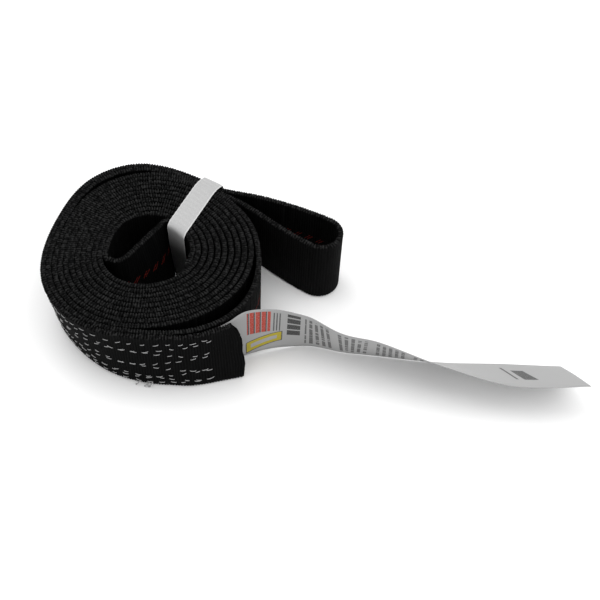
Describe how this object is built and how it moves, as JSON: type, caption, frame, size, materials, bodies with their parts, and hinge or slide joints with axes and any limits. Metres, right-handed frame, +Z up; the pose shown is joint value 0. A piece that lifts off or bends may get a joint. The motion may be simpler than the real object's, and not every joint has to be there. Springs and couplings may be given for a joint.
{
  "type": "rolled winch strap",
  "caption": "Flat webbing winch strap rolled on its side, with a sewn eye standing out, a sewn tail, a satin tie band and a long label tape.",
  "frame": {"origin": "on the floor under the middle of the whole object's bounding box", "axes": "+X to the right, along the label tape; +Y to the back; +Z up, along the roll's axis"},
  "size_m": [0.3398, 0.1694, 0.0518],
  "materials": {
    "webbing": "ribbed polyester webbing",
    "satin": "satin ribbon",
    "label": "printed label tape"
  },
  "bodies": {
    "root": {"webbing": "webbing", "tie_band": "satin", "label": "label"}
  },
  "joints": []
}
